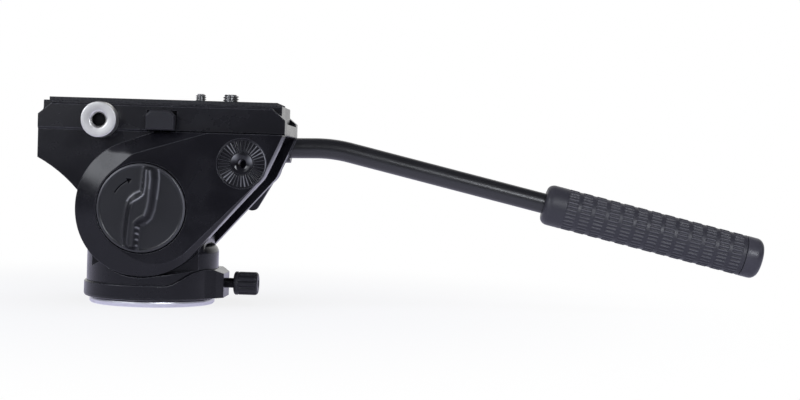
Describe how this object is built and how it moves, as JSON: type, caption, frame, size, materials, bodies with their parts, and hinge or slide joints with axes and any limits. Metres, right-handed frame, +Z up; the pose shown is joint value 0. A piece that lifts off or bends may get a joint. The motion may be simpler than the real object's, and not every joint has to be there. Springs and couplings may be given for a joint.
{
  "type": "fluid video head",
  "caption": "Fluid video head with a pan base, tilting cradle, sliding camera plate, lock knobs and a bent handle with a ribbed grip.",
  "frame": {"origin": "centre of the foot's underside, where the tripod thread opens, on the pan axis", "axes": "+Z up along the pan axis, +X to the rear along the handle, +Y to the handle side"},
  "size_m": [0.4437, 0.1155, 0.1272],
  "materials": {
    "black_casting": "satin",
    "black_plastic": "satin",
    "silver_metal": "satin",
    "steel": "satin",
    "bronze": "satin",
    "black_tube": "gloss",
    "rubber": "matte",
    "white_plastic": "matte"
  },
  "bodies": {
    "foot": {"foot_plate": "silver_metal", "pan_spindle": "steel", "spindle_washer": "steel", "spindle_nut": "steel"},
    "pan_body": {"base_collar": "black_casting", "collar_screws": "steel", "body_casting": "black_casting", "pan_carrier": "silver_metal", "pan_bush": "bronze", "pan_drag_disc": "white_plastic", "tilt_axle": "steel", "axle_nut": "steel", "tilt_friction_disc": "white_plastic", "counterbalance_spring": "steel"},
    "pan_shoe": {"pan_brake_shoe": "bronze"},
    "pan_knob": {"pan_lock_screw": "steel", "pan_lock_knob": "black_plastic"},
    "cradle": {"left_cheek": "black_casting", "right_cheek": "black_casting", "left_rosette": "black_casting", "right_rosette": "black_casting", "left_bush": "bronze", "right_bush": "bronze", "damper_rotor": "silver_metal", "axle_cap": "black_plastic", "platform": "black_casting", "platform_screws": "steel", "catch_cover": "steel", "cover_screws": "steel", "catch_spring": "steel"},
    "tilt_plate": {"tilt_pressure_plate": "steel"},
    "tilt_knob": {"tilt_lock_knob": "black_plastic", "tilt_knob_insert": "bronze"},
    "jaw": {"plate_clamp_jaw": "bronze"},
    "plate_knob": {"plate_lock_knob": "silver_metal", "plate_lock_screw": "steel"},
    "catch": {"safety_button": "black_plastic"},
    "plate": {"camera_plate": "black_casting", "plate_pad": "rubber"},
    "quarter_slider": {"quarter_clip": "steel"},
    "quarter_spin": {"quarter_screw": "steel"},
    "three_eighth_slider": {"three_eighth_clip": "steel"},
    "three_eighth_spin": {"three_eighth_screw": "steel"},
    "handle": {"handle_bracket": "black_casting", "handle_tube": "black_tube", "bracket_screws": "steel", "handle_grip": "rubber", "grip_end_cap": "black_plastic"},
    "lever": {"clamp_lever": "black_plastic", "lever_bolt": "steel"}
  },
  "joints": [
    {"name": "pan", "type": "hinge", "parent": "foot", "child": "pan_body", "pos_m": [0, 0, 0], "axis": [0, 0, 1], "continuous": true},
    {"name": "pan_shoe_slide", "type": "slide", "parent": "pan_body", "child": "pan_shoe", "axis": [-1, 0, 0], "range_m": [-0.0005, 0.00022222]},
    {"name": "pan_lock", "type": "hinge", "parent": "pan_shoe", "child": "pan_knob", "pos_m": [0.05, 0, 0.013], "axis": [-1, 0, 0], "range_deg": [-180, 80]},
    {"name": "tilt", "type": "hinge", "parent": "pan_body", "child": "cradle", "pos_m": [0, 0, 0.058], "axis": [0, 1, 0], "range_deg": [-65, 40]},
    {"name": "tilt_plate_slide", "type": "slide", "parent": "pan_body", "child": "tilt_plate", "axis": [0, 1, 0], "range_m": [-0.000625, 0.00015625]},
    {"name": "tilt_lock", "type": "hinge", "parent": "tilt_plate", "child": "tilt_knob", "pos_m": [0, -0.04, 0.058], "axis": [0, 1, 0], "range_deg": [-180, 45]},
    {"name": "jaw_slide", "type": "slide", "parent": "cradle", "child": "jaw", "axis": [0, 1, 0], "range_m": [-0.00018056, 0.00022222]},
    {"name": "plate_lock", "type": "hinge", "parent": "jaw", "child": "plate_knob", "pos_m": [-0.0253, -0.04, 0.1087], "axis": [0, 1, 0], "range_deg": [-65, 80]},
    {"name": "catch_press", "type": "slide", "parent": "cradle", "child": "catch", "axis": [0, 1, 0], "range_m": [0, 0.0042], "stiffness_N_per_m": 400, "springref_m": -0.002, "deforming": ["catch_spring"]},
    {"name": "plate_slide", "type": "slide", "parent": "cradle", "child": "plate", "axis": [1, 0, 0], "range_m": [-0.025, 0.025]},
    {"name": "quarter_slide", "type": "slide", "parent": "plate", "child": "quarter_slider", "axis": [1, 0, 0], "range_m": [-0.016, 0.001]},
    {"name": "quarter_turn", "type": "hinge", "parent": "quarter_slider", "child": "quarter_spin", "pos_m": [0.0264, 0, 0.12], "axis": [0, 0, 1], "continuous": true},
    {"name": "three_eighth_slide", "type": "slide", "parent": "plate", "child": "three_eighth_slider", "axis": [1, 0, 0], "range_m": [-0.001, 0.012]},
    {"name": "three_eighth_turn", "type": "hinge", "parent": "three_eighth_slider", "child": "three_eighth_spin", "pos_m": [0.0447, 0, 0.12], "axis": [0, 0, 1], "continuous": true},
    {"name": "handle_angle", "type": "hinge", "parent": "cradle", "child": "handle", "pos_m": [0.0578, 0.05, 0.0855], "axis": [0, 1, 0], "range_deg": [-75, 60]},
    {"name": "clamp_turn", "type": "hinge", "parent": "handle", "child": "lever", "pos_m": [0.0578, 0.06, 0.0855], "axis": [0, -1, 0], "range_deg": [-180, 60]}
  ],
  "couplings": [
    {"joint": "pan_lock", "follows": "pan_shoe_slide", "rad_per_m": 6283.2},
    {"joint": "tilt_lock", "follows": "tilt_plate_slide", "rad_per_m": 5026.5},
    {"joint": "plate_lock", "follows": "jaw_slide", "rad_per_m": 6283.2}
  ]
}
